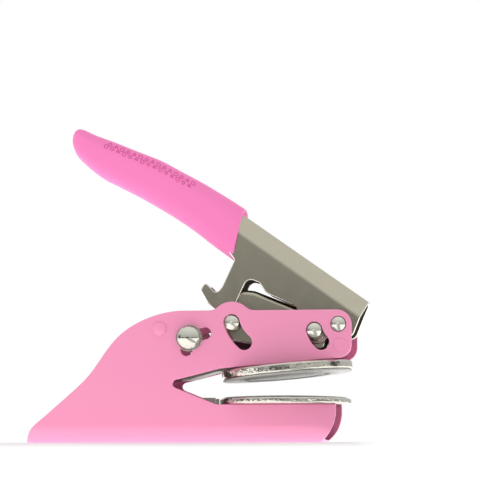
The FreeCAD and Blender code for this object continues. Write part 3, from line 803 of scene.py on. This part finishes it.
def add_clip():
    """The hairpin: its lower leaf stays on the frame; its upper leaf is cut apart from it and put on no body.
    """
    lo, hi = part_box("clip_anchor_rod")
    height = (lo.z + hi.z) / 2
    lower = add_object("clip_lower_leaf", half_of_clip("clip_lower_leaf", height, False))
    # The lower leaf takes the brighter steel, painted light.
    place_on(lower, "frame", "spring_steel", [spring_steel_painted_light], "die_clip_spring")
    upper = add_object("clip_upper_leaf", half_of_clip("clip_upper_leaf", height, True))
    upper.data.materials.append(spring_steel)
    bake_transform(upper)
    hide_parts("die_clip_spring")


def add_return_spring():
    piece = add_object("return_spring_finished", copy_of("return_spring", "return_spring_finished"))
    piece.data.materials.append(spring_steel)
    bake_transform(piece)
    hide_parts("return_spring")


def add_lock():
    refined("lock_pin", "lock", "pin_steel", [pin_steel], small_round)
    refined("lock_knobs", "lock", "knob_chrome", [knob_chrome], small_round)
    refined("lock_washers", "lock", "pin_steel", [pin_steel], small_round)


def stage_height(y):
    """The stage is level under the object and falls gently away in front of it."""
    ahead = slope_start - y
    if ahead <= 0:
        return 0
    if ahead < slope_ease:
        return -math.tan(slope_angle) * ahead ** 2 / (2 * slope_ease)
    return -math.tan(slope_angle) * (ahead - slope_ease / 2)


def add_stage():
    rows = [stage_reach] + stage_back_rows + [slope_start]
    rows += [slope_start - slope_ease * step / stage_steps for step in range(1, stage_steps + 1)]
    rows += [slope_start - slope_row] + stage_front_rows + [-stage_reach]
    work = bmesh.new()
    made = [[work.verts.new((side * stage_reach, y, stage_height(y))) for side in (-1, 1)] for y in rows]
    for first, second in zip(made, made[1:]):
        work.faces.new((first[0], first[1], second[1], second[0]))
    mesh = mesh_of(work, "stage_floor")
    smooth(mesh)
    floor = add_object("stage_floor", mesh)
    floor.data.materials.append(stage_white())


def stage_white():
    """A lit white table, darker in a gap towards the camera; to the camera its glow is lower near the base, a
    painted shadow added to the object's real shadow.
    """
    material, shader, add, join = node_tools("stage_white")
    shader.inputs["Base Color"].default_value = (floor_shade, floor_shade, floor_shade, 1)
    shader.inputs["Roughness"].default_value = 1.0
    shader.inputs["Specular IOR Level"].default_value = 0.0
    shader.inputs["Emission Color"].default_value = (1, 1, 1, 1)
    place = add("ShaderNodeTexCoord")
    parts = add("ShaderNodeSeparateXYZ")
    join(place, "Object", parts, "Vector")
    ahead = add("ShaderNodeMath", operation="MULTIPLY")
    ahead.inputs[1].default_value = -1
    aside = add("ShaderNodeMath", operation="SUBTRACT")
    aside.inputs[1].default_value = gap_place
    turn = add("ShaderNodeMath", operation="ARCTAN2")
    either = add("ShaderNodeMath", operation="ABSOLUTE")
    lit = ramp(add, gap_start, gap_end, 0, floor_light)
    join(parts, "Y", ahead, 0)
    join(parts, "X", aside, 0)
    join(aside, 0, turn, 0)
    join(ahead, 0, turn, 1)
    join(turn, 0, either, 0)
    join(either, 0, lit, "Value")
    # To the camera the glow falls off towards the base: painted shadow round it.
    from_middle = add("ShaderNodeMath", operation="SUBTRACT")
    from_middle.inputs[1].default_value = base_middle
    along = add("ShaderNodeMath", operation="ABSOLUTE")
    past_end = add("ShaderNodeMath", operation="SUBTRACT")
    past_end.inputs[1].default_value = base_reach
    beyond = add("ShaderNodeMath", operation="MULTIPLY")
    beyond.inputs[1].default_value = end_steepness
    across = add("ShaderNodeMath", operation="ABSOLUTE")
    away = add("ShaderNodeMath", operation="MAXIMUM")
    glow_past_painted_shadow = ramp(add, glow_start, glow_end, 0, floor_glow)
    join(parts, "X", from_middle, 0)
    join(from_middle, 0, along, 0)
    join(along, 0, past_end, 0)
    join(past_end, 0, beyond, 0)
    join(parts, "Y", across, 0)
    join(beyond, 0, away, 0)
    join(across, 0, away, 1)
    join(away, 0, glow_past_painted_shadow, "Value")
    path = add("ShaderNodeLightPath")
    level = ramp(add, 0, 1, 0, 1)
    join(path, "Is Camera Ray", level, "Value")
    join(lit, "Result", level, "To Min")
    join(glow_past_painted_shadow, "Result", level, "To Max")
    join(level, "Result", shader, "Emission Strength")
    return material


def add_world():
    """A white backdrop to the camera; to the object, a room that grows brighter overhead."""
    world = bpy.data.worlds.new("studio")
    scene.world = world
    world.use_nodes = True
    tree = world.node_tree
    background = tree.nodes["Background"]
    background.inputs["Color"].default_value = (1, 1, 1, 1)
    direction = tree.nodes.new("ShaderNodeTexCoord")
    parts = tree.nodes.new("ShaderNodeSeparateXYZ")
    room = tree.nodes.new("ShaderNodeMapRange")
    path = tree.nodes.new("ShaderNodeLightPath")
    level = tree.nodes.new("ShaderNodeMapRange")
    room.inputs["To Min"].default_value = horizon_light
    room.inputs["To Max"].default_value = zenith_light
    tree.links.new(direction.outputs["Generated"], parts.inputs["Vector"])
    tree.links.new(parts.outputs["Z"], room.inputs["Value"])
    tree.links.new(path.outputs["Is Camera Ray"], level.inputs["Value"])
    tree.links.new(room.outputs["Result"], level.inputs["To Min"])
    tree.links.new(level.outputs["Result"], background.inputs["Strength"])


def facing(holder, place, target):
    """Puts a lamp or the camera in its place, turned to a target."""
    scene.collection.objects.link(holder)
    holder.location = place
    holder.rotation_mode = "QUATERNION"
    holder.rotation_quaternion = (target - place).to_track_quat("-Z", "Y")


def add_cards():
    """Grey cards round the object that only give metal something to show."""
    for name, (width, height, turn, distance, rise, glow) in cards.items():
        across = Vector((math.cos(turn), math.sin(turn), 0)) * (width / 2)
        middle = Vector((math.sin(turn), -math.cos(turn), 0)) * distance + Vector((0, 0, rise))
        up = Vector((0, 0, height / 2))
        work = bmesh.new()
        corners = [middle - across - up, middle + across - up, middle + across + up, middle - across + up]
        work.faces.new([work.verts.new(corner) for corner in corners])
        mesh = bpy.data.meshes.new(name)
        work.to_mesh(mesh)
        work.free()
        card = add_object(name, mesh)
        material, shader = node_tools(name)[:2]
        shader.inputs["Base Color"].default_value = (0, 0, 0, 1)
        shader.inputs["Specular IOR Level"].default_value = 0.0
        shader.inputs["Emission Color"].default_value = (1, 1, 1, 1)
        shader.inputs["Emission Strength"].default_value = glow
        mesh.materials.append(material)
        card.visible_camera = False
        card.visible_diffuse = False
        card.visible_shadow = False


def add_camera():
    lo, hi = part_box("lower_die_holder")
    die = Vector(((lo.x + hi.x) / 2, 0, 0))
    camera = bpy.data.cameras.new("camera")
    camera.sensor_width = camera_sensor
    camera.lens = camera_lens
    camera.clip_start = camera_near
    camera.clip_end = camera_far
    holder = bpy.data.objects.new("camera", camera)
    facing(holder, die + camera_from_die, die + target_from_die)
    scene.camera = holder


scene.view_settings.view_transform = "Standard"
add_camera()
add_frame()
add_pins()
add_lever()
add_grip()
add_dies()
add_clip()
add_return_spring()
add_lock()
add_stage()
add_world()
add_cards()
